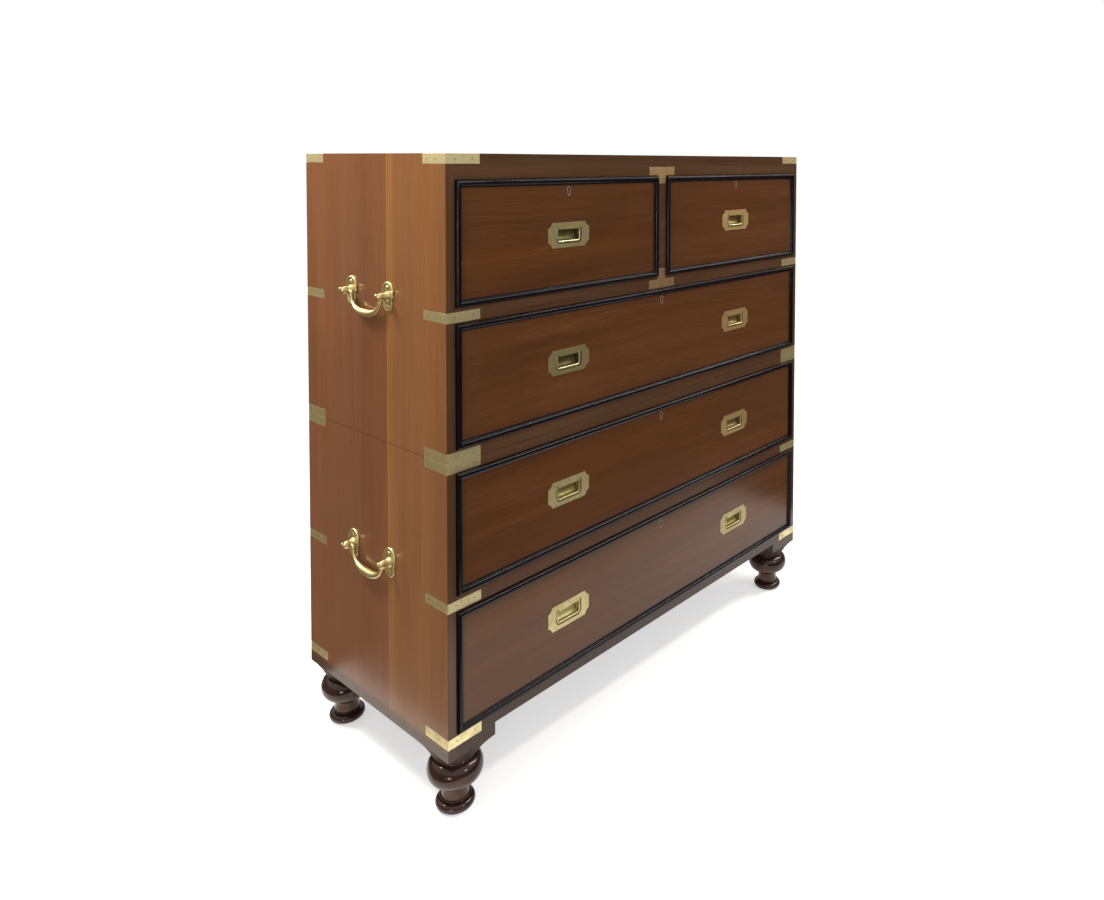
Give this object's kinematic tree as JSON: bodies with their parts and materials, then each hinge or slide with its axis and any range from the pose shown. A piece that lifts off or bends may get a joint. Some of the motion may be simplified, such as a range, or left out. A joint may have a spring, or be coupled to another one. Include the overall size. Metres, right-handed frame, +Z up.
{
  "type": "campaign chest of drawers",
  "caption": "Campaign chest of drawers that parts into stacked cases, on turned feet, with sliding drawers, recessed drop pulls and hinged side handles.",
  "frame": {"origin": "centre of the footprint, on the floor under the four feet", "axes": "+Z up, drawers face and open towards -Y, +X to the right seen from the front"},
  "size_m": [1.05, 0.428, 1.044],
  "materials": {
    "case_wood": "warm lacquered teak or mahogany, satin gloss",
    "front_wood": "darker lacquered teak or mahogany, horizontal grain, satin gloss",
    "bead_wood": "ebonised, glossy black",
    "inner_wood": "plain secondary wood, waxed",
    "foot_wood": "dark red-brown, high gloss",
    "strap_brass": "satin, lightly worn",
    "handle_brass": "polished"
  },
  "bodies": {
    "lower_case": {"lower_left_side": "case_wood", "lower_right_side": "case_wood", "lower_top_board": "case_wood", "lower_bottom_board": "case_wood", "lower_back": "inner_wood", "lower_drawer_rail": "case_wood", "foot_front_left": "foot_wood", "foot_front_right": "foot_wood", "foot_back_left": "foot_wood", "foot_back_right": "foot_wood", "lower_handle_post_left_front": "handle_brass", "lower_handle_post_left_rear": "handle_brass", "lower_handle_post_right_front": "handle_brass", "lower_handle_post_right_rear": "handle_brass"},
    "upper_case": {"upper_left_side": "case_wood", "upper_right_side": "case_wood", "upper_top_board": "case_wood", "upper_top_rail": "case_wood", "upper_bottom_board": "case_wood", "upper_drawer_rail": "case_wood", "upper_back": "inner_wood", "upper_handle_post_left_front": "handle_brass", "upper_handle_post_left_rear": "handle_brass", "upper_handle_post_right_front": "handle_brass", "upper_handle_post_right_rear": "handle_brass"},
    "short_left_drawer": {"short_left_front": "front_wood", "short_left_box": "inner_wood", "short_left_bead": "bead_wood", "short_left_pull_plate": "strap_brass"},
    "short_right_drawer": {"short_right_front": "front_wood", "short_right_box": "inner_wood", "short_right_bead": "bead_wood", "short_right_pull_plate": "strap_brass"},
    "long_upper_drawer": {"long_upper_front": "front_wood", "long_upper_box": "inner_wood", "long_upper_bead": "bead_wood", "long_upper_pull_plate_left": "strap_brass", "long_upper_pull_plate_right": "strap_brass"},
    "long_middle_drawer": {"long_middle_front": "front_wood", "long_middle_box": "inner_wood", "long_middle_bead": "bead_wood", "long_middle_pull_plate_left": "strap_brass", "long_middle_pull_plate_right": "strap_brass"},
    "long_lower_drawer": {"long_lower_front": "front_wood", "long_lower_box": "inner_wood", "long_lower_bead": "bead_wood", "long_lower_pull_plate_left": "strap_brass", "long_lower_pull_plate_right": "strap_brass"},
    "short_left_pull": {"short_left_pull_bail": "handle_brass"},
    "short_right_pull": {"short_right_pull_bail": "handle_brass"},
    "long_upper_pull_left": {"long_upper_pull_bail_left": "handle_brass"},
    "long_upper_pull_right": {"long_upper_pull_bail_right": "handle_brass"},
    "long_middle_pull_left": {"long_middle_pull_bail_left": "handle_brass"},
    "long_middle_pull_right": {"long_middle_pull_bail_right": "handle_brass"},
    "long_lower_pull_left": {"long_lower_pull_bail_left": "handle_brass"},
    "long_lower_pull_right": {"long_lower_pull_bail_right": "handle_brass"},
    "upper_handle_left": {"upper_handle_bail_left": "handle_brass"},
    "upper_handle_right": {"upper_handle_bail_right": "handle_brass"},
    "lower_handle_left": {"lower_handle_bail_left": "handle_brass"},
    "lower_handle_right": {"lower_handle_bail_right": "handle_brass"}
  },
  "joints": [
    {"name": "upper_case_lift", "type": "slide", "parent": "lower_case", "child": "upper_case", "axis": [0, 0, 1], "range_m": [0, 0.08]},
    {"name": "short_left_slide", "type": "slide", "parent": "upper_case", "child": "short_left_drawer", "axis": [0, -1, 0], "range_m": [0, 0.32]},
    {"name": "short_right_slide", "type": "slide", "parent": "upper_case", "child": "short_right_drawer", "axis": [0, -1, 0], "range_m": [0, 0.32]},
    {"name": "long_upper_slide", "type": "slide", "parent": "upper_case", "child": "long_upper_drawer", "axis": [0, -1, 0], "range_m": [0, 0.32]},
    {"name": "long_middle_slide", "type": "slide", "parent": "lower_case", "child": "long_middle_drawer", "axis": [0, -1, 0], "range_m": [0, 0.32]},
    {"name": "long_lower_slide", "type": "slide", "parent": "lower_case", "child": "long_lower_drawer", "axis": [0, -1, 0], "range_m": [0, 0.32]},
    {"name": "short_left_pull_hinge", "type": "hinge", "parent": "short_left_drawer", "child": "short_left_pull", "pos_m": [-0.248, -0.2068, 0.917], "axis": [-1, 0, 0], "range_deg": [0, 95]},
    {"name": "short_right_pull_hinge", "type": "hinge", "parent": "short_right_drawer", "child": "short_right_pull", "pos_m": [0.248, -0.2068, 0.917], "axis": [-1, 0, 0], "range_deg": [0, 95]},
    {"name": "long_upper_pull_left_hinge", "type": "hinge", "parent": "long_upper_drawer", "child": "long_upper_pull_left", "pos_m": [-0.248, -0.2068, 0.6985], "axis": [-1, 0, 0], "range_deg": [0, 95]},
    {"name": "long_upper_pull_right_hinge", "type": "hinge", "parent": "long_upper_drawer", "child": "long_upper_pull_right", "pos_m": [0.248, -0.2068, 0.6985], "axis": [-1, 0, 0], "range_deg": [0, 95]},
    {"name": "long_middle_pull_left_hinge", "type": "hinge", "parent": "long_middle_drawer", "child": "long_middle_pull_left", "pos_m": [-0.248, -0.2068, 0.4705], "axis": [-1, 0, 0], "range_deg": [0, 95]},
    {"name": "long_middle_pull_right_hinge", "type": "hinge", "parent": "long_middle_drawer", "child": "long_middle_pull_right", "pos_m": [0.248, -0.2068, 0.4705], "axis": [-1, 0, 0], "range_deg": [0, 95]},
    {"name": "long_lower_pull_left_hinge", "type": "hinge", "parent": "long_lower_drawer", "child": "long_lower_pull_left", "pos_m": [-0.248, -0.2068, 0.254], "axis": [-1, 0, 0], "range_deg": [0, 95]},
    {"name": "long_lower_pull_right_hinge", "type": "hinge", "parent": "long_lower_drawer", "child": "long_lower_pull_right", "pos_m": [0.248, -0.2068, 0.254], "axis": [-1, 0, 0], "range_deg": [0, 95]},
    {"name": "upper_handle_left_hinge", "type": "hinge", "parent": "upper_case", "child": "upper_handle_left", "pos_m": [-0.509, 0.003, 0.812], "axis": [0, 1, 0], "range_deg": [-4, 170]},
    {"name": "upper_handle_right_hinge", "type": "hinge", "parent": "upper_case", "child": "upper_handle_right", "pos_m": [0.509, 0.003, 0.812], "axis": [0, -1, 0], "range_deg": [-4, 170]},
    {"name": "lower_handle_left_hinge", "type": "hinge", "parent": "lower_case", "child": "lower_handle_left", "pos_m": [-0.509, 0.003, 0.3755], "axis": [0, 1, 0], "range_deg": [-4, 170]},
    {"name": "lower_handle_right_hinge", "type": "hinge", "parent": "lower_case", "child": "lower_handle_right", "pos_m": [0.509, 0.003, 0.3755], "axis": [0, -1, 0], "range_deg": [-4, 170]}
  ]
}
